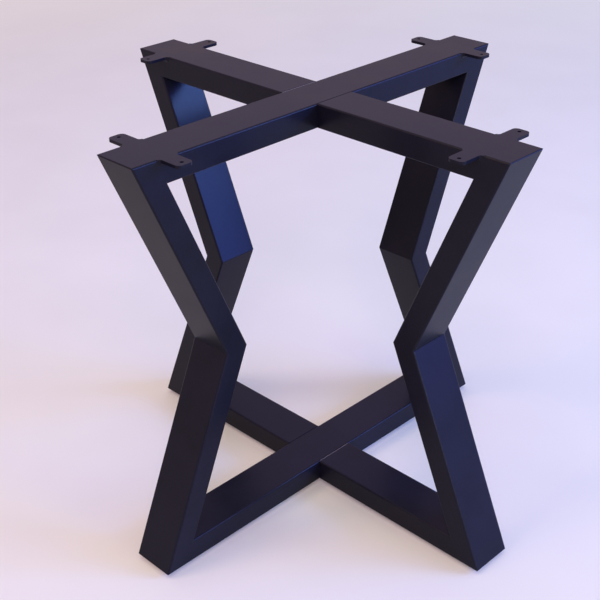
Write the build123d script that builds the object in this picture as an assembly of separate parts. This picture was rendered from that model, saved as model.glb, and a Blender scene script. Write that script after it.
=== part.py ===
from build123d import *
import os

# A table base made of two equal hourglass frames that cross at right angles.
# The frames are mitred from rectangular steel tube, welded and ground smooth.
# Millimetres. The origin is on the floor, under the middle of the base, with +Z up.
# The through frame runs along Y and its bars are whole.
# The butted frame runs along X and its bars are cut where the through frame passes.

# Each hourglass frame, measured over its outer faces, before its ridges are ground
frame_height = 720.0
waist_height = 360.0
top_length = 800.0
waist_length = 495.0
bottom_length = 800.0

# The tube, with its wide side across the plane of the frame
tube_width = 80.0
tube_depth = 40.0
tube_wall = 2.0
tube_corner_radius = 3.0
least_inner_radius = 0.3
ground_ridge_radius = 1.5

# The mounting tabs, flush with the top of the bars
tab_width = 28.0
tab_reach = 40.0
tab_thickness = 5.0
tab_corner_radius = 8.0
tab_from_bar_end = 63.0
tab_hole_diameter = 6.0
tab_hole_from_tip = 10.0
tab_weld_leg = 5.0

# The ground weld in the joint line where a half bar meets the through frame
joint_weld_recess = 0.6

# The glides that lift the base off the floor, and their screws
glide_diameter = 30.0
glide_height = 8.0
glide_bevel = 1.2
glide_from_bar_end = 45.0
screw_shank_diameter = 4.8
screw_length = 16.0
screw_head_diameter = 9.0
screw_head_height = 3.0
screw_recess_width = 1.2
screw_recess_span = 5.0
screw_recess_depth = 1.6
screw_head_sink = 1.6
screw_clearance = 0.3

# Levels and places that follow from the sizes above
underside = glide_height
frame_top = underside + frame_height
waist_level = underside + waist_height
tube_inner_radius = max(tube_corner_radius - tube_wall, least_inner_radius)
tab_place = top_length / 2 - tab_from_bar_end
glide_place = bottom_length / 2 - glide_from_bar_end
cutting_spare = 2 * tube_depth

# The corners of an hourglass, anticlockwise as seen from the front, with z up
outline = [
    Vector(bottom_length / 2, 0, underside),
    Vector(waist_length / 2, 0, waist_level),
    Vector(top_length / 2, 0, frame_top),
    Vector(-top_length / 2, 0, frame_top),
    Vector(-waist_length / 2, 0, waist_level),
    Vector(-bottom_length / 2, 0, underside),
]
bottom_right, waist_right, top_right, top_left, waist_left, bottom_left = range(len(outline))
waist_corners = (waist_right, waist_left)


def along(start, end):
    """Unit vector from one outline corner to another."""
    return (outline[end] - outline[start]).normalized()


def inward(direction):
    """Unit vector in the plane of the frame, from its outer face towards its opening."""
    return Vector(-direction.Z, 0, direction.X)


def mitre(corner):
    """Vector along the mitre line of a corner, for each millimetre of depth into the frame."""
    before = (corner - 1) % len(outline)
    after = (corner + 1) % len(outline)
    first = inward(along(before, corner))
    second = inward(along(corner, after))
    return (first + second) / (1 + first.dot(second))


def mitre_cut(corner):
    """The two ends of a mitre cut, past the outer and the inner face of the tube."""
    line = mitre(corner)
    return outline[corner] - line * cutting_spare, outline[corner] + line * (tube_depth + cutting_spare)


def square_cut(bar_corner, side):
    """A square cut through a bar, against the side face of the through frame."""
    place = side * tube_width / 2
    into_frame = inward(along(bar_corner, (bar_corner + 1) % len(outline)))
    on_face = Vector(place, 0, outline[bar_corner].Z)
    return on_face - into_frame * cutting_spare, on_face + into_frame * (tube_depth + cutting_spare)


def tube_blank(start, end):
    """A length of tube along one side of the hourglass, longer than its cut length at both ends."""
    direction = along(start, end)
    depth = inward(direction)
    length = (outline[end] - outline[start]).length
    origin = outline[start] + depth * (tube_depth / 2) - direction * cutting_spare
    section = RectangleRounded(tube_depth, tube_width, tube_corner_radius)
    section -= RectangleRounded(tube_depth - 2 * tube_wall, tube_width - 2 * tube_wall, tube_inner_radius)
    section_plane = Plane(origin=origin, x_dir=depth, z_dir=direction)
    return extrude(section_plane * section, amount=length + 2 * cutting_spare)


def prism(corners, width):
    """A block with the given side view in the plane of the frame, centred on that plane."""
    side_view = make_face(Polyline(*corners, close=True))
    return extrude(side_view, amount=width / 2, dir=(0, 1, 0), both=True)


def ridge_cutter(point, first_face, second_face):
    """The sharp edge that is ground off along a ridge between two faces.

    first_face and second_face point along the faces, away from the ridge.
    """
    bisector = (first_face + second_face).normalized()
    half_angle_sine = (first_face - second_face).length / 2
    centre = point + bisector * (ground_ridge_radius / half_angle_sine)
    first_out = (first_face * first_face.dot(bisector) - bisector).normalized()
    second_out = (second_face * second_face.dot(bisector) - bisector).normalized()
    reach = 2 * ground_ridge_radius
    tip = centre + (first_out + second_out) * (reach / (1 + first_out.dot(second_out)))
    width = tube_width + 2 * ground_ridge_radius
    edge = prism([centre, centre + first_out * reach, tip, centre + second_out * reach], width)
    rounding = Plane(origin=centre, x_dir=(1, 0, 0), z_dir=(0, 1, 0)) * Circle(ground_ridge_radius)
    return edge - extrude(rounding, amount=width, both=True)


def ridge_cutters():
    """Cutters for every ridge of a frame: the four ends outside, and the two waists inside."""
    cutters = []
    for corner in range(len(outline)):
        before = (corner - 1) % len(outline)
        after = (corner + 1) % len(outline)
        depth = tube_depth if corner in waist_corners else 0
        ridge = outline[corner] + mitre(corner) * depth
        cutters.append(ridge_cutter(ridge, along(corner, before), along(corner, after)))
    return cutters


ground_ridges = ridge_cutters()


def cut_tube(start, end, first_cut, last_cut):
    """One tube of a frame, cut at both ends, with its ridges ground."""
    width = 2 * tube_width
    block = prism([first_cut[0], last_cut[0], last_cut[1], first_cut[1]], width)
    tube = tube_blank(start, end) & block
    for cutter in ground_ridges:
        tube -= cutter
    return tube


def mitred_tube(start, end):
    """A tube of a frame with a mitre at both ends."""
    return cut_tube(start, end, mitre_cut(start), mitre_cut(end))


def hourglass_legs():
    """The four legs of a frame in its own plane, by level and by the sign of their end."""
    return {
        ("lower_leg", 1): mitred_tube(bottom_right, waist_right),
        ("upper_leg", 1): mitred_tube(waist_right, top_right),
        ("upper_leg", -1): mitred_tube(top_left, waist_left),
        ("lower_leg", -1): mitred_tube(waist_left, bottom_left),
    }


def half_bars():
    """The cut bars of the butted frame, by level and by the sign of their end."""
    return {
        ("top_bar", 1): cut_tube(top_right, top_left, mitre_cut(top_right), square_cut(top_right, 1)),
        ("top_bar", -1): cut_tube(top_right, top_left, square_cut(top_right, -1), mitre_cut(top_left)),
        ("bottom_bar", 1): cut_tube(
            bottom_left, bottom_right, square_cut(bottom_left, 1), mitre_cut(bottom_right)
        ),
        ("bottom_bar", -1): cut_tube(
            bottom_left, bottom_right, mitre_cut(bottom_left), square_cut(bottom_left, -1)
        ),
    }


def tab():
    """A mounting tab on the left side of the bar end at +X, flush with the top of the bar."""
    plate = Rectangle(tab_width, tab_reach)
    tip_corners = plate.vertices().group_by(Axis.Y)[-1]
    plate = fillet(tip_corners, tab_corner_radius)
    plate -= Pos(0, tab_reach / 2 - tab_hole_from_tip) * Circle(tab_hole_diameter / 2)
    place = Pos(tab_place, tube_width / 2 + tab_reach / 2, frame_top)
    return place * extrude(plate, amount=-tab_thickness)


def filled_joint_line(corner, side, face, length, recess):
    """Weld in the gap along a tube's rounded edge, up to a recess below the tube's face.

    corner is the middle of the square corner round the edge. side and face are unit vectors out of
    the two faces that meet there, and the recess is measured from the second one.
    """
    section = Rectangle(tube_corner_radius, tube_corner_radius - recess, align=(Align.MIN, Align.MIN))
    section -= Circle(tube_corner_radius)
    section = Pos(-tube_corner_radius, -tube_corner_radius) * section
    line_plane = Plane(origin=corner, x_dir=side, z_dir=side.cross(face))
    return extrude(line_plane * section, amount=length / 2, both=True)


def tab_weld(tab_plate):
    """The fillet weld round the root of a tab, with the joint on top filled and ground flush."""
    root_width = tab_width + 2 * tab_weld_leg
    root_height = tab_thickness + tab_weld_leg
    corner = Vector(tab_place, tube_width / 2, frame_top)
    block = Box(root_width, 2 * tab_weld_leg, 2 * root_height)
    block = chamfer(block.faces().sort_by(Axis.Y)[-1].edges(), tab_weld_leg)
    quarter = Box(root_width, tab_weld_leg, root_height, align=(Align.CENTER, Align.MIN, Align.MAX))
    bead = Pos(*corner) * (block & quarter)
    top_line = filled_joint_line(corner, Vector(0, 1, 0), Vector(0, 0, 1), root_width, 0)
    return bead + top_line - tab_plate


def joint_weld(face_level, face):
    """The ground weld between the half bar at +X and the whole bar, on the upper or lower face."""
    corner = Vector(tube_width / 2, 0, face_level)
    length = tube_width - 2 * tube_corner_radius
    return filled_joint_line(corner, Vector(1, 0, 0), face, length, joint_weld_recess)


def glide():
    """A round glide under the bar end at +X, bored for its screw."""
    disc = extrude(Circle(glide_diameter / 2), amount=glide_height)
    disc = chamfer(disc.edges().group_by(Axis.Z)[0], glide_bevel)
    seat = screw_head_sink + screw_head_height
    disc -= extrude(Circle(screw_shank_diameter / 2 + screw_clearance), amount=glide_height)
    disc -= extrude(Circle(screw_head_diameter / 2 + screw_clearance), amount=seat)
    return Pos(glide_place, 0, 0) * disc


def glide_screw():
    """A pan-head screw that holds a glide, with its head sunk in the glide."""
    head = extrude(Circle(screw_head_diameter / 2), amount=screw_head_height)
    slot = extrude(Rectangle(screw_recess_span, screw_recess_width), amount=screw_recess_depth)
    for turn in (0, 90):
        head -= Rot(0, 0, turn) * slot
    shank = Pos(0, 0, screw_head_height) * extrude(Circle(screw_shank_diameter / 2), amount=screw_length)
    return Pos(glide_place, 0, screw_head_sink) * (head + shank)


def drilled(bar):
    """A bottom bar with the screw holes of its glides through its lower wall."""
    for turn in (0, 180):
        drill = Pos(glide_place, 0, underside) * Cylinder(screw_shank_diameter / 2, 2 * tube_wall)
        bar = bar - Rot(0, 0, turn) * drill
    return bar


parts = {}
quarter_turn = Rot(0, 0, 90)
up = Vector(0, 0, 1)

# Each end of the base: its turn from +X, its name, and the names of its left and right sides
ends = [
    (0, "right", "back", "front"),
    (90, "back", "left", "right"),
    (180, "left", "front", "back"),
    (270, "front", "right", "left"),
]

# The through frame, modelled along X and turned to run along Y
legs = hourglass_legs()
parts["through_top_bar"] = quarter_turn * mitred_tube(top_right, top_left)
parts["through_bottom_bar"] = quarter_turn * drilled(mitred_tube(bottom_left, bottom_right))
for (level, sign), leg in legs.items():
    end = "back" if sign > 0 else "front"
    parts[f"through_{level}_{end}"] = quarter_turn * leg

# The butted frame, along X
for (level, sign), leg in legs.items():
    end = "right" if sign > 0 else "left"
    parts[f"butted_{level}_{end}"] = leg
for (level, sign), bar in half_bars().items():
    end = "right" if sign > 0 else "left"
    parts[f"butted_{level}_{end}"] = drilled(bar) if level == "bottom_bar" else bar

# A tab and its weld on both sides of each end of the top bars, and a glide under each end below
plate = tab()
bead = tab_weld(plate)
pad = glide()
pad_screw = glide_screw()
for turn, end, left_side, right_side in ends:
    turned = Rot(0, 0, turn)
    parts[f"tab_{end}_{left_side}"] = turned * plate
    parts[f"tab_{end}_{right_side}"] = turned * mirror(plate, about=Plane.XZ)
    parts[f"tab_weld_{end}_{left_side}"] = turned * bead
    parts[f"tab_weld_{end}_{right_side}"] = turned * mirror(bead, about=Plane.XZ)
    parts[f"glide_{end}"] = turned * pad
    parts[f"glide_screw_{end}"] = turned * pad_screw

# The ground welds where each half bar meets the through frame, above and below
joint_faces = [
    ("top", "upper", frame_top, up),
    ("top", "lower", frame_top - tube_depth, -up),
    ("bottom", "upper", underside + tube_depth, up),
    ("bottom", "lower", underside, -up),
]
for level, side_name, face_level, face in joint_faces:
    weld = joint_weld(face_level, face)
    parts[f"{level}_joint_weld_right_{side_name}"] = weld
    parts[f"{level}_joint_weld_left_{side_name}"] = Rot(0, 0, 180) * weld

os.makedirs("parts", exist_ok=True)
for name, shape in parts.items():
    export_step(shape, f"parts/{name}.step")
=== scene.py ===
"""Looks of a steel table base: two hourglass frames of rectangular tube that cross at right angles.

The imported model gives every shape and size. This script dresses it: a satin black powder coat on the
tubes, tabs and welds, moulded glides under the feet, and plated screws. It also lays the weld beads at
the roots of the mounting tabs, and sets a pale floor, soft lamps and the photograph's camera.
All lengths are in metres.
"""
import logging
import math
from dataclasses import dataclass
from enum import Enum

import bmesh
import bpy
from mathutils import Matrix, Vector


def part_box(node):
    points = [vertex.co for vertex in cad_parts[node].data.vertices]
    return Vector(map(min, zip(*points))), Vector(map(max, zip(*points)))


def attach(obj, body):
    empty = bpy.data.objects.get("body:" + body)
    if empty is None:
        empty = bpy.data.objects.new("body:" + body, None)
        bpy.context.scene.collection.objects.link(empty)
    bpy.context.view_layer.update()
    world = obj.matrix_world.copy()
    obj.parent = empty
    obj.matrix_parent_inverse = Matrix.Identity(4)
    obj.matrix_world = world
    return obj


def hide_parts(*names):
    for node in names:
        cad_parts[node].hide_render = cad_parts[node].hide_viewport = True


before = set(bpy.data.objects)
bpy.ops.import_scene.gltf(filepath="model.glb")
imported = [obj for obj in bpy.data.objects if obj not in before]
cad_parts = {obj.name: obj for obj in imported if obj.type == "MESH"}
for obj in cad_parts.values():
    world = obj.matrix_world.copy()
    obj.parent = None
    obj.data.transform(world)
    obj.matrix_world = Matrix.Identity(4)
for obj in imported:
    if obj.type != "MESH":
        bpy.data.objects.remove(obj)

Colour = tuple[float, float, float]
Point = tuple[float, float, float]
Span = tuple[float, float]
Feed = bpy.types.NodeSocket | float | tuple[float, ...]

BODY = "root"
MM = 0.001
QUARTER_TURN = math.pi / 2
NOISE_RANGE: Span = (0.3, 0.7)
BLACK: Colour = (0.0, 0.0, 0.0)
BACKDROP: Colour = (0.71, 0.54, 0.58)
MIDDLE: Point = (0.0, 0.0, 0.35)

log = logging.getLogger("table_base")


class Level(Enum):
    """The two levels at which the frames cross."""

    TOP = "top"
    BOTTOM = "bottom"


class End(Enum):
    """The four ends of the base, in their order round it."""

    RIGHT = "right"
    BACK = "back"
    LEFT = "left"
    FRONT = "front"

    def neighbours(self) -> tuple["End", "End"]:
        """Find the ends beside this one.

        Returns:
            The two ends that lie a quarter turn to either side.
        """
        order = list(End)
        place = order.index(self)
        return order[(place + 1) % len(order)], order[place - 1]


class ShaderGraph:
    """A short way to write the node tree of a material or of the world."""

    # A mix node's sockets for numbers, vectors and colours share their names, so these go by place.
    colour_mix_inputs = (0, 6, 7)
    colour_mix_output = 2

    def __init__(self, owner: bpy.types.Material | bpy.types.World) -> None:
        """Empty the owner's node tree.

        Args:
            owner: The material or world whose nodes are written.
        """
        owner.use_nodes = True
        self.tree = owner.node_tree
        self.tree.nodes.clear()

    def node(self, kind: str, **settings: object) -> bpy.types.Node:
        """Add a node.

        Args:
            kind: The node's class name after "ShaderNode".
            settings: Attributes of the node.

        Returns:
            The new node.
        """
        made = self.tree.nodes.new("ShaderNode" + kind)
        for name, value in settings.items():
            setattr(made, name, value)
        return made

    def feed(self, socket: bpy.types.NodeSocket, value: Feed) -> None:
        """Link an output to an input, or set the input's own value.

        Args:
            socket: The input.
            value: An output socket, a number or a colour.
        """
        if isinstance(value, bpy.types.NodeSocket):
            self.tree.links.new(value, socket)
        elif isinstance(value, tuple) and len(value) == 3 and socket.type == "RGBA":
            socket.default_value = (*value, 1.0)
        else:
            socket.default_value = value

    def place(self) -> bpy.types.NodeSocket:
        """The shaded point in the object's own metres."""
        return self.node("TexCoord").outputs["Object"]

    def noise(self, size: float, detail: float = 2.0, rough: float = 0.5) -> bpy.types.NodeSocket:
        """Cloudy noise.

        Args:
            size: The width of one cloud, in metres.
            detail: The number of finer octaves.
            rough: How strong the finer octaves are.

        Returns:
            The noise, about 0.5 on average.
        """
        texture = self.node("TexNoise")
        self.feed(texture.inputs["Vector"], self.place())
        self.feed(texture.inputs["Scale"], 1.0 / size)
        self.feed(texture.inputs["Detail"], detail)
        self.feed(texture.inputs["Roughness"], rough)
        return texture.outputs["Fac"]

    def combined(self, operation: str, first: Feed, second: Feed) -> bpy.types.NodeSocket:
        """A sum, product or other operation on two values.

        Args:
            operation: The operation's name.
            first: The first value or output.
            second: The second value or output.

        Returns:
            The result.
        """
        made = self.node("Math", operation=operation)
        self.feed(made.inputs[0], first)
        self.feed(made.inputs[1], second)
        return made.outputs[0]

    def ranged(self, value: Feed, source: Span, target: Span = (0.0, 1.0)) -> bpy.types.NodeSocket:
        """Map a value smoothly from one range to another, held at both ends.

        Args:
            value: The value.
            source: Its lowest and highest level.
            target: What those levels become.

        Returns:
            The mapped value.
        """
        made = self.node("MapRange", interpolation_type="SMOOTHSTEP")
        self.feed(made.inputs["Value"], value)
        for name, level in zip(("From Min", "From Max", "To Min", "To Max"), (*source, *target)):
            self.feed(made.inputs[name], level)
        return made.outputs["Result"]

    def mixed(self, share: Feed, first: Feed, second: Feed) -> bpy.types.NodeSocket:
        """Blend two colours.

        Args:
            share: How much of the second colour shows.
            first: The first colour.
            second: The second colour.

        Returns:
            The blended colour.
        """
        made = self.node("Mix", data_type="RGBA")
        for place, value in zip(self.colour_mix_inputs, (share, first, second)):
            self.feed(made.inputs[place], value)
        return made.outputs[self.colour_mix_output]

    def bump(self, height: Feed, depth: float,
             under: bpy.types.NodeSocket | None = None) -> bpy.types.NodeSocket:
        """Turn a height into a bent normal.

        Args:
            height: The height, from 0 to 1.
            depth: How far the surface moves for a height of 1, in metres.
            under: A normal that is already bent, if any.

        Returns:
            The normal.
        """
        made = self.node("Bump")
        self.feed(made.inputs["Strength"], 1.0)
        self.feed(made.inputs["Distance"], depth)
        self.feed(made.inputs["Height"], height)
        if under is not None:
            self.feed(made.inputs["Normal"], under)
        return made.outputs["Normal"]

    def seen_directly(self) -> bpy.types.NodeSocket:
        """Tell what is looked at from what only gives light.

        Returns:
            1 for the camera, in reflections and through glass, and 0 for the light that falls on things.
        """
        path = self.node("LightPath")
        seen = self.combined("MAXIMUM", path.outputs["Is Camera Ray"], path.outputs["Is Glossy Ray"])
        return self.combined("MAXIMUM", seen, path.outputs["Is Transmission Ray"])

    def surface(self, shader: bpy.types.NodeSocket, output: str = "OutputMaterial") -> None:
        """End the tree with a shader.

        Args:
            shader: The shader's output.
            output: The output node's class name after "ShaderNode".
        """
        self.feed(self.node(output).inputs["Surface"], shader)


@dataclass(frozen=True)
class PowderCoat:
    """Satin black powder coat on steel, baked to a fine even grain.

    Attributes:
        deep: The coat where its clouds are darkest.
        pale: The coat where its clouds are palest.
        fleck: The tips of the grain.
        gloss: How much of a smoother skin lies over the coat.
        flow_size: The width of one wave that the coat flowed out to.
        grain_weight: The grain's part in the roughness, beside the clouds' part.
        fleck_levels: The grain's heights between which flecks appear.
        ground_marks: Whether the surface under the coat was ground.
    """

    name: str = "satin_black_powder_coat"
    deep: Colour = (0.0058, 0.0056, 0.0110)
    pale: Colour = (0.0087, 0.0086, 0.0166)
    fleck: Colour = (0.0182, 0.0234, 0.0347)
    roughness: Span = (0.35, 0.45)
    specular_level: float = 0.045
    specular_tint: Colour = (1.0, 0.84, 0.97)
    gloss: float = 0.18
    gloss_roughness: float = 0.25
    cloud_size: float = 110 * MM
    flow_size: float = 7 * MM
    flow_depth: float = 0.010 * MM
    grain_size: float = 0.9 * MM
    grain_depth: float = 0.010 * MM
    grain_weight: float = 0.4
    fleck_levels: Span = (0.35, 0.75)
    fleck_share: float = 0.35
    ground_marks: bool = False
    mark_size: float = 2.2 * MM
    mark_depth: float = 0.09 * MM

    def material(self) -> bpy.types.Material:
        """Write the coat's nodes.

        Returns:
            The material.
        """
        made = bpy.data.materials.new(self.name)
        graph = ShaderGraph(made)
        shader = graph.node("BsdfPrincipled")
        cloud = graph.noise(self.cloud_size, detail=4.0, rough=0.6)
        grain = graph.noise(self.grain_size, detail=3.0, rough=0.6)
        flow = graph.noise(self.flow_size, detail=1.0)
        body = graph.mixed(graph.ranged(cloud, NOISE_RANGE), self.deep, self.pale)
        flecks = graph.ranged(grain, self.fleck_levels, (0.0, self.fleck_share))
        graph.feed(shader.inputs["Base Color"], graph.mixed(flecks, body, self.fleck))
        cloud_part = graph.combined("MULTIPLY", cloud, 1.0 - self.grain_weight)
        grain_part = graph.combined("MULTIPLY", grain, self.grain_weight)
        tone = graph.combined("ADD", cloud_part, grain_part)
        graph.feed(shader.inputs["Roughness"], graph.ranged(tone, NOISE_RANGE, self.roughness))
        graph.feed(shader.inputs["Specular IOR Level"], self.specular_level)
        graph.feed(shader.inputs["Specular Tint"], self.specular_tint)
        graph.feed(shader.inputs["Coat Weight"], self.gloss)
        graph.feed(shader.inputs["Coat Roughness"], self.gloss_roughness)
        normal = graph.bump(flow, self.flow_depth)
        if self.ground_marks:
            marks = graph.noise(self.mark_size, detail=5.0, rough=0.8)
            normal = graph.bump(marks, self.mark_depth, normal)
        graph.feed(shader.inputs["Normal"], graph.bump(grain, self.grain_depth, normal))
        graph.surface(shader.outputs["BSDF"])
        return made


PLAIN_COAT = PowderCoat()
WELD_COAT = PowderCoat(name="powder_coat_over_weld", ground_marks=True)
# Paler, glossier coat for two of the crossing welds: its pale base colour is a painted highlight along
# their joint lines, while its higher specular level and ground marks are the weld's own.
PAINTED_HIGHLIGHT_WELD_COAT = PowderCoat(
    name="coat_over_weld_with_painted_highlight",
    deep=(0.20, 0.19, 0.21),
    pale=(0.30, 0.29, 0.31),
    fleck=(0.34, 0.33, 0.36),
    specular_level=0.5,
    ground_marks=True,
)


@dataclass(frozen=True)
class MouldedPlastic:
    """Matt black moulded plastic with a spark-eroded texture, lightly scuffed."""

    name: str = "moulded_black_plastic"
    body: Colour = (0.017, 0.017, 0.018)
    scuff: Colour = (0.060, 0.058, 0.056)
    roughness: Span = (0.48, 0.68)
    specular_level: float = 0.4
    texture_size: float = 0.5 * MM
    texture_depth: float = 0.03 * MM
    scuff_size: float = 5 * MM
    scuff_levels: Span = (0.52, 0.72)
    scuff_share: float = 0.6

    def material(self) -> bpy.types.Material:
        """Write the plastic's nodes.

        Returns:
            The material.
        """
        made = bpy.data.materials.new(self.name)
        graph = ShaderGraph(made)
        shader = graph.node("BsdfPrincipled")
        texture = graph.noise(self.texture_size, detail=2.0)
        scuffs = graph.noise(self.scuff_size, detail=6.0, rough=0.7)
        scuffs_and_painted_highlights = graph.ranged(scuffs, self.scuff_levels, (0.0, self.scuff_share))
        graph.feed(shader.inputs["Base Color"], graph.mixed(scuffs_and_painted_highlights, self.body, self.scuff))
        graph.feed(shader.inputs["Roughness"], graph.ranged(scuffs, NOISE_RANGE, self.roughness))
        graph.feed(shader.inputs["Specular IOR Level"], self.specular_level)
        graph.feed(shader.inputs["Normal"], graph.bump(texture, self.texture_depth))
        graph.surface(shader.outputs["BSDF"])
        return made


@dataclass(frozen=True)
class ZincPlate:
    """Bright zinc plate on a steel screw, with a faint clouded passivation."""

    name: str = "bright_zinc_plate"
    bright: Colour = (0.62, 0.63, 0.65)
    dull: Colour = (0.40, 0.40, 0.42)
    roughness: Span = (0.24, 0.44)
    cloud_size: float = 2.5 * MM
    dull_levels: Span = (0.35, 0.7)
    scratch_size: float = 0.3 * MM
    scratch_depth: float = 0.008 * MM

    def material(self) -> bpy.types.Material:
        """Write the plate's nodes.

        Returns:
            The material.
        """
        made = bpy.data.materials.new(self.name)
        graph = ShaderGraph(made)
        shader = graph.node("BsdfPrincipled")
        graph.feed(shader.inputs["Metallic"], 1.0)
        cloud = graph.noise(self.cloud_size, detail=5.0, rough=0.65)
        share = graph.ranged(cloud, self.dull_levels)
        graph.feed(shader.inputs["Base Color"], graph.mixed(share, self.bright, self.dull))
        graph.feed(shader.inputs["Roughness"], graph.ranged(cloud, NOISE_RANGE, self.roughness))
        scratches = graph.noise(self.scratch_size, detail=2.0)
        graph.feed(shader.inputs["Normal"], graph.bump(scratches, self.scratch_depth))
        graph.surface(shader.outputs["BSDF"])
        return made


def dress(name: str, material: bpy.types.Material) -> None:
    """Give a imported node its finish.

    Args:
        name: The node.
        material: The finish.
    """
    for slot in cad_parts[name].material_slots:
        slot.material = material
    log.info("dressed %s in %s", name, material.name)


def skin(mesh: bmesh.types.BMesh, rings: list[list[bmesh.types.BMVert]]) -> None:
    """Close a row of outlines into a solid, with a cap at both ends.

    Args:
        mesh: The mesh that is written.
        rings: The corners of each outline, in the same order all along.
    """
    corners = len(rings[0])
    for first, second in zip(rings, rings[1:]):
        for i in range(corners):
            j = (i + 1) % corners
            mesh.faces.new((first[i], first[j], second[j], second[i]))
    mesh.faces.new(rings[0])
    mesh.faces.new(rings[-1])


@dataclass
class HourglassFrame:
    """One hourglass of six sides, cut and mitred from rectangular tube."""

    name: str
    ends: tuple[End, End]
    whole_bars: bool
    coat: bpy.types.Material
    levels: tuple[Level, ...] = tuple(Level)
    leg_kinds: tuple[str, ...] = ("upper_leg", "lower_leg")

    def tubes(self) -> list[str]:
        """Name the frame's tubes.

        Returns:
            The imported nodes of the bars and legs.
        """
        names = [f"{self.name}_{kind}_{end.value}" for kind in self.leg_kinds for end in self.ends]
        for level in self.levels:
            bar = f"{self.name}_{level.value}_bar"
            names += [bar] if self.whole_bars else [f"{bar}_{end.value}" for end in self.ends]
        return names

    def build(self) -> None:
        """Coat every tube of the frame."""
        for name in self.tubes():
            dress(name, self.coat)


@dataclass
class CrossingWelds:
    """The ground welds in the joint lines where the cut bars meet the whole ones, two of them with a
    painted highlight.
    """

    coat: bpy.types.Material
    painted_highlight_coat: bpy.types.Material
    ends: tuple[End, End] = (End.RIGHT, End.LEFT)
    faces: tuple[str, str] = ("upper", "lower")
    painted_highlight_face: str = "upper"
    # The welds whose top gets the pale coat, a painted highlight along their joint lines.
    scuffs_and_painted_highlights: tuple[tuple[Level, End], ...] = ((Level.TOP, End.LEFT), (Level.BOTTOM, End.RIGHT))

    def build(self) -> None:
        """Coat the eight welds, two of them paler on top as a painted highlight along their joint lines.
        """
        for level in Level:
            for end in self.ends:
                for face in self.faces:
                    gets_painted_highlight = face == self.painted_highlight_face and (level, end) in self.scuffs_and_painted_highlights
                    coat = self.painted_highlight_coat if gets_painted_highlight else self.coat
                    dress(f"{level.value}_joint_weld_{end.value}_{face}", coat)


@dataclass(frozen=True)
class TabSeat:
    """Where a mounting tab meets the side of its bar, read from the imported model.

    Attributes:
        middle: The middle of the tab's root, at the level of its top.
        across: The direction along the bar.
        reach: The direction out from the bar.
        leg: How far the weld runs out along the tab.
        edge_radius: How far the bar's rounded edge reaches in over the tab.
    """

    middle: Vector
    across: Vector
    reach: Vector
    half_width: float
    thickness: float
    leg: float
    edge_radius: float

    @classmethod
    def read(cls, tab: str, weld: str) -> "TabSeat":
        """Measure a tab and its weld.

        Args:
            tab: The tab's node.
            weld: The weld's node.

        Returns:
            The seat, with its middle on the bar's side face at the level of the tab's top.
        """
        low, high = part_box(tab)
        weld_low, weld_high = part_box(weld)
        size = high - low
        axis = 0 if size.x > size.y else 1
        side = 1 if low[axis] + high[axis] > 0 else -1
        root = low[axis] if side > 0 else high[axis]
        outer = weld_high[axis] if side > 0 else weld_low[axis]
        inner = weld_low[axis] if side > 0 else weld_high[axis]
        middle = (low + high) / 2
        middle[axis] = root
        middle.z = high.z
        reach = Vector((0, 0, 0))
        reach[axis] = side
        return cls(middle, reach.cross(Vector((0, 0, 1))), reach, size[1 - axis] / 2, size.z,
                   abs(outer - root), abs(root - inner))

    def point(self, across: float, reach: float, down: float) -> Vector:
        """A point beside the seat.

        Args:
            across: Distance along the bar.
            reach: Distance out from the bar's side face.
            down: Distance below the tab's top.

        Returns:
            The point in the row frame.
        """
        return self.middle + self.across * across + self.reach * reach - Vector((0, 0, down))


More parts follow.
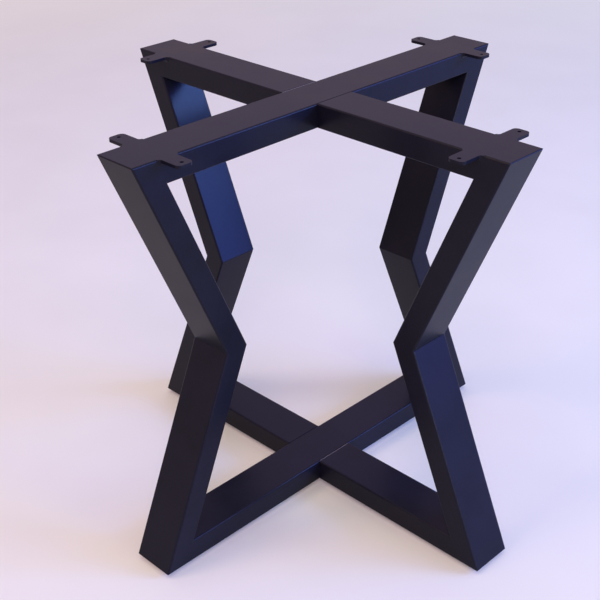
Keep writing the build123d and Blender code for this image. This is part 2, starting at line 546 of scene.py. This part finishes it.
@dataclass
class WeldBead:
    """A fillet weld laid in one pass down one side of a tab, under it and up the other side.

    Attributes:
        pitch: The distance from one ripple to the next.
        ripple: How far a ripple stands up.
        hollow: The form of the face, from 0 for a flat one to 1 for a hollow quarter circle.
        bow: How far the middle of a ripple runs ahead of its ends, in pitches.
        step: The length of weld between two sections.
    """

    seat: TabSeat
    name: str
    coat: bpy.types.Material
    pitch: float = 1.7 * MM
    ripple: float = 0.14 * MM
    hollow: float = 0.9
    bow: float = 0.5
    step: float = 0.42 * MM
    arc_steps: int = 8
    line_steps: int = 6
    least_steps: int = 2
    merge_distance: float = 0.001 * MM
    smooth_angle: float = math.radians(38)

    def steps(self, length: float) -> int:
        """The number of even steps that a length of weld is laid in."""
        return max(self.least_steps, round(length / self.step))

    def stations(self) -> list[tuple[float, float, float]]:
        """Walk along the root of the weld.

        Returns:
            For each section its place across and below the tab's top corner line, and the turn of
            its outward direction, from 0 beside the tab to a quarter turn under it.
        """
        seat = self.seat
        half = seat.half_width
        corner_length = seat.leg / 2 * QUARTER_TURN
        down_steps = self.steps(seat.thickness)
        turn_steps = self.steps(corner_length)
        under_steps = self.steps(2 * half)
        path = [(-half, seat.thickness * i / down_steps, 0.0) for i in range(down_steps)]
        path += [(-half, seat.thickness, QUARTER_TURN * i / turn_steps) for i in range(turn_steps)]
        path += [(-half + 2 * half * i / under_steps, seat.thickness, QUARTER_TURN)
                 for i in range(under_steps)]
        path += [(half, seat.thickness, QUARTER_TURN * (1 + i / turn_steps)) for i in range(turn_steps)]
        path += [(half, seat.thickness * (1 - i / down_steps), 2 * QUARTER_TURN)
                 for i in range(down_steps + 1)]
        return path

    def section(self, station: tuple[float, float, float], travelled: float) -> list[Vector]:
        """The outline of the bead across its length.

        Args:
            station: Where the section stands.
            travelled: How much weld has been laid before it.

        Returns:
            The root, then the points of the hollow face from the bar to the tab.
        """
        across, down, turn = station
        seat = self.seat
        outline = [seat.point(across, 0.0, down)]
        for i in range(self.arc_steps + 1):
            swing = QUARTER_TURN * i / self.arc_steps
            spread = 2 * i / self.arc_steps - 1
            reach = math.cos(swing) + math.sin(swing)
            flat = 1 / reach
            curved = reach - math.sqrt(max(reach * reach - 1, 0.0))
            phase = (travelled / self.pitch + self.bow * spread * spread) % 1.0
            wave = self.ripple * (1 - phase * phase) * (1 - spread * spread)
            radius = seat.leg * (flat + self.hollow * (curved - flat)) + wave
            radius = radius if 0 < i < self.arc_steps else seat.leg
            out = radius * math.cos(swing)
            outline.append(seat.point(
                across - out * math.cos(turn),
                radius * math.sin(swing),
                down + out * math.sin(turn),
            ))
        return outline

    def ground_line(self, mesh: bmesh.types.BMesh) -> None:
        """Add the weld that fills the rounded edge of the bar along the tab, ground flush.

        Args:
            mesh: The mesh that is written.
        """
        seat = self.seat
        radius = seat.edge_radius
        profile = [(0.0, 0.0), (-radius, 0.0)]
        for i in range(1, self.line_steps + 1):
            swing = QUARTER_TURN * i / self.line_steps
            profile.append((-radius + radius * math.sin(swing), radius - radius * math.cos(swing)))
        half = seat.half_width + seat.leg
        skin(mesh, [[mesh.verts.new(seat.point(end, reach, down)) for reach, down in profile]
                    for end in (-half, half)])

    def build(self, replaced: str) -> None:
        """Lay the bead and coat it.

        Args:
            replaced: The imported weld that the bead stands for.
        """
        mesh = bmesh.new()
        rings = []
        travelled = 0.0
        last = None
        for station in self.stations():
            middle = self.seat.point(*self.face_middle(station))
            travelled += (middle - last).length if last is not None else 0.0
            last = middle
            rings.append([mesh.verts.new(point) for point in self.section(station, travelled)])
        skin(mesh, rings)
        bmesh.ops.remove_doubles(mesh, verts=mesh.verts, dist=self.merge_distance)
        self.ground_line(mesh)
        bmesh.ops.recalc_face_normals(mesh, faces=mesh.faces)
        data = bpy.data.meshes.new(self.name)
        mesh.to_mesh(data)
        mesh.free()
        data.shade_smooth()
        data.set_sharp_from_angle(angle=self.smooth_angle)
        data.materials.append(self.coat)
        bead = bpy.data.objects.new(self.name, data)
        bpy.context.scene.collection.objects.link(bead)
        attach(bead, BODY)
        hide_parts(replaced)
        log.info("laid %s in place of %s", self.name, replaced)

    def face_middle(self, station: tuple[float, float, float]) -> tuple[float, float, float]:
        """Find the middle of the bead's face.

        Args:
            station: Where along the weld.

        Returns:
            The distances across, out and down from the seat's middle.
        """
        across, down, turn = station
        half_leg = self.seat.leg / 2
        return across - half_leg * math.cos(turn), half_leg, down + half_leg * math.sin(turn)


@dataclass
class MountingTabs:
    """The eight tabs at the top of the base, and the weld beads that hold them."""

    coat: bpy.types.Material
    bead_coat: bpy.types.Material

    def build(self) -> None:
        """Coat each tab and lay its bead."""
        for end in End:
            for side in end.neighbours():
                place = f"{end.value}_{side.value}"
                dress(f"tab_{place}", self.coat)
                seat = TabSeat.read(f"tab_{place}", f"tab_weld_{place}")
                WeldBead(seat, f"weld_bead_{place}", self.bead_coat).build(f"tab_weld_{place}")


@dataclass
class Glides:
    """The glides under the four ends, each with its screw."""

    plastic: bpy.types.Material
    zinc: bpy.types.Material

    def build(self) -> None:
        """Give the glides and their screws their finishes."""
        for end in End:
            dress(f"glide_{end.value}", self.plastic)
            dress(f"glide_screw_{end.value}", self.zinc)


@dataclass(frozen=True)
class SoftLamp:
    """A rectangular lamp that the camera doesn't see."""

    name: str
    place: Point
    aim: Point
    width: float
    height: float
    watts: float
    colour: Colour

    def build(self) -> None:
        """Hang the lamp and point it."""
        data = bpy.data.lights.new(self.name, "AREA")
        data.shape = "RECTANGLE"
        data.size = self.width
        data.size_y = self.height
        data.energy = self.watts
        data.color = self.colour
        lamp = bpy.data.objects.new(self.name, data)
        bpy.context.scene.collection.objects.link(lamp)
        lamp.location = self.place
        lamp.rotation_mode = "QUATERNION"
        lamp.rotation_quaternion = (Vector(self.aim) - Vector(self.place)).to_track_quat("-Z", "Y")
        lamp.visible_camera = False
        log.info("hung lamp %s", self.name)


@dataclass(frozen=True)
class PaleFloor:
    """A seamless pale floor, slightly warmer on one side, that runs out into a tone of its own and then
    the backdrop's tone; that own tone is painted bluer on the side towards the window lamp, as painted
    window light.

    Attributes:
        tint_direction: The way from the warm side to the cool one.
        tint_reach: The distances that way between which the tint changes.
        fade_reach: The distances between which lit floor gives way to a tone of its own.
        edge_reach: The distances between which that tone becomes the backdrop's.
        own_light: The share of its own tone that the floor has under the base.
        mottle: How much darker its clouds are.
        bounce: The share of its light that it throws back at the base.
    """

    name: str = "studio_floor"
    radius: float = 12.0
    segments: int = 96
    warm: Colour = (0.90, 0.90, 0.75)
    cool: Colour = (0.89, 0.90, 0.70)
    far_warm: Colour = (0.89, 0.79, 0.74)
    # Far tone on the window lamp's side: painted bluish window light.
    far_window_side_painted_blue: Colour = (0.84, 0.84, 0.92)
    tint_direction: Point = (0.705, 0.709, 0.0)
    tint_reach: Span = (-1.3, 1.3)
    fade_reach: Span = (1.0, 7.0)
    edge_reach: Span = (5.0, 9.0)
    own_light: float = 0.12
    mottle_size: float = 0.35
    mottle: float = 0.04
    bounce: float = 0.5
    roughness: float = 0.85
    specular_level: float = 0.1

    def material(self) -> bpy.types.Material:
        """Write the floor's nodes.

        Returns:
            The material.
        """
        made = bpy.data.materials.new("pale_seamless_floor")
        graph = ShaderGraph(made)
        shader = graph.node("BsdfPrincipled")
        sideways = graph.node("VectorMath", operation="DOT_PRODUCT")
        graph.feed(sideways.inputs[0], graph.place())
        graph.feed(sideways.inputs[1], self.tint_direction)
        share = graph.ranged(sideways.outputs["Value"], self.tint_reach)
        tint = graph.mixed(share, self.warm, self.cool)
        cloud = graph.ranged(graph.noise(self.mottle_size), NOISE_RANGE, (0.0, self.mottle))
        shown = graph.mixed(cloud, tint, BLACK)
        seen = graph.seen_directly()
        held = graph.ranged(seen, (0.0, 1.0), (1.0 - self.bounce, 0.0))
        graph.feed(shader.inputs["Base Color"], graph.mixed(held, shown, BLACK))
        graph.feed(shader.inputs["Roughness"], self.roughness)
        graph.feed(shader.inputs["Specular IOR Level"], self.specular_level)
        glow = graph.node("Emission")
        distance = graph.node("VectorMath", operation="LENGTH")
        graph.feed(distance.inputs[0], graph.place())
        # Far off, the floor's own tone is painted bluer towards the window lamp, as painted window light
        # over the pale backdrop tone.
        far = graph.mixed(share, self.far_warm, self.far_window_side_painted_blue)
        edge = graph.ranged(distance.outputs["Value"], self.edge_reach)
        graph.feed(glow.inputs["Color"], graph.mixed(edge, far, BACKDROP))
        fade = graph.ranged(distance.outputs["Value"], self.fade_reach, (self.own_light, 1.0))
        blend = graph.node("MixShader")
        graph.feed(blend.inputs[0], graph.combined("MULTIPLY", fade, seen))
        graph.feed(blend.inputs[1], shader.outputs["BSDF"])
        graph.feed(blend.inputs[2], glow.outputs["Emission"])
        graph.surface(blend.outputs[0])
        return made

    def build(self) -> None:
        """Lay the floor under the base."""
        mesh = bmesh.new()
        bmesh.ops.create_circle(mesh, cap_ends=True, radius=self.radius, segments=self.segments)
        data = bpy.data.meshes.new(self.name)
        mesh.to_mesh(data)
        mesh.free()
        data.materials.append(self.material())
        floor = bpy.data.objects.new(self.name, data)
        bpy.context.scene.collection.objects.link(floor)
        log.info("laid %s", self.name)


@dataclass(frozen=True)
class Surroundings:
    """The light of the room, and the pale tone that shows behind the base."""

    shown: Colour = BACKDROP
    fill: Colour = (0.84, 0.64, 1.0)
    fill_strength: float = 0.46

    def build(self) -> None:
        """Write the world's nodes."""
        world = bpy.data.worlds.new("studio_world")
        bpy.context.scene.world = world
        graph = ShaderGraph(world)
        light = graph.node("Background")
        graph.feed(light.inputs["Color"], self.fill)
        graph.feed(light.inputs["Strength"], self.fill_strength)
        backdrop = graph.node("Background")
        graph.feed(backdrop.inputs["Color"], self.shown)
        graph.feed(backdrop.inputs["Strength"], 1.0)
        blend = graph.node("MixShader")
        graph.feed(blend.inputs[0], graph.seen_directly())
        graph.feed(blend.inputs[1], light.outputs[0])
        graph.feed(blend.inputs[2], backdrop.outputs[0])
        graph.surface(blend.outputs[0], "OutputWorld")
        log.info("set the surroundings")


@dataclass(frozen=True)
class PhotographCamera:
    """The photograph's viewpoint, found from the corners of the two frames."""

    azimuth: float = math.radians(45.161)
    elevation: float = math.radians(28.805)
    roll: float = math.radians(-0.851)
    distance: float = 1.9923
    target: Point = (-0.0219, -0.0224, 0.3531)
    lens: float = 68.742
    sensor: float = 36.0

    def build(self) -> None:
        """Place the camera and make it the scene's own."""
        flat = math.cos(self.elevation)
        back = Vector((math.sin(self.azimuth) * flat, -math.cos(self.azimuth) * flat,
                       math.sin(self.elevation)))
        right = Vector((math.cos(self.azimuth), math.sin(self.azimuth), 0.0))
        upright = Matrix((right, back.cross(right), back)).transposed()
        data = bpy.data.cameras.new("photograph_camera")
        data.sensor_width = self.sensor
        data.lens = self.lens
        camera = bpy.data.objects.new("photograph_camera", data)
        bpy.context.scene.collection.objects.link(camera)
        turned = (upright @ Matrix.Rotation(self.roll, 3, "Z")).to_4x4()
        camera.matrix_world = Matrix.Translation(Vector(self.target) + back * self.distance) @ turned
        bpy.context.scene.camera = camera
        log.info("placed the camera")


@dataclass
class Studio:
    """The pale floor, the lamps, the surroundings and the camera."""

    lamps: tuple[SoftLamp, ...] = (
        SoftLamp(
            "window", place=(4.1, 3.2, 1.9), aim=MIDDLE,
            width=4.2, height=2.4, watts=345.0, colour=(0.06, 0.17, 1.0),
        ),
        SoftLamp(
            "window_core", place=(4.1, 3.4, 2.7), aim=MIDDLE,
            width=1.8, height=1.1, watts=125.0, colour=(0.24, 0.45, 1.0),
        ),
        SoftLamp(
            "window_ledge", place=(4.8, 0.2, 0.8), aim=MIDDLE,
            width=1.2, height=1.2, watts=56.0, colour=(0.75, 1.0, 0.85),
        ),
        SoftLamp(
            "ceiling_lamp", place=(0.0, 0.0, 3.6), aim=(0.0, 0.0, 0.0),
            width=3.4, height=3.4, watts=31.0, colour=(0.85, 1.0, 0.72),
        ),
        SoftLamp(
            "back_card", place=(-3.4, 3.4, 3.6), aim=(0.0, 0.0, 0.5),
            width=4.2, height=2.6, watts=16.0, colour=(0.35, 0.33, 1.0),
        ),
        SoftLamp(
            "near_lamp", place=(2.6, -2.6, 3.4), aim=(0.0, 0.0, 0.2),
            width=1.5, height=1.5, watts=65.0, colour=(1.0, 0.67, 0.95),
        ),
        SoftLamp(
            "room_lamp", place=(-2.0, -3.4, 4.6), aim=(0.0, 0.0, 0.2),
            width=1.8, height=1.8, watts=68.0, colour=(1.0, 0.65, 0.45),
        ),
    )

    def build(self) -> None:
        """Set up everything round the base."""
        bpy.context.scene.view_settings.view_transform = "Standard"
        PaleFloor().build()
        Surroundings().build()
        PhotographCamera().build()
        for lamp in self.lamps:
            lamp.build()


def main() -> None:
    """Dress the base, add its weld beads and set up the studio round it."""
    logging.basicConfig(level=logging.INFO, format="%(name)s: %(message)s")
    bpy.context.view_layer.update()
    coat = PLAIN_COAT.material()
    weld_coat = WELD_COAT.material()
    HourglassFrame("through", ends=(End.FRONT, End.BACK), whole_bars=True, coat=coat).build()
    HourglassFrame("butted", ends=(End.RIGHT, End.LEFT), whole_bars=False, coat=coat).build()
    CrossingWelds(weld_coat, PAINTED_HIGHLIGHT_WELD_COAT.material()).build()
    MountingTabs(coat, weld_coat).build()
    Glides(MouldedPlastic().material(), ZincPlate().material()).build()
    Studio().build()


if __name__ == "__main__":
    main()
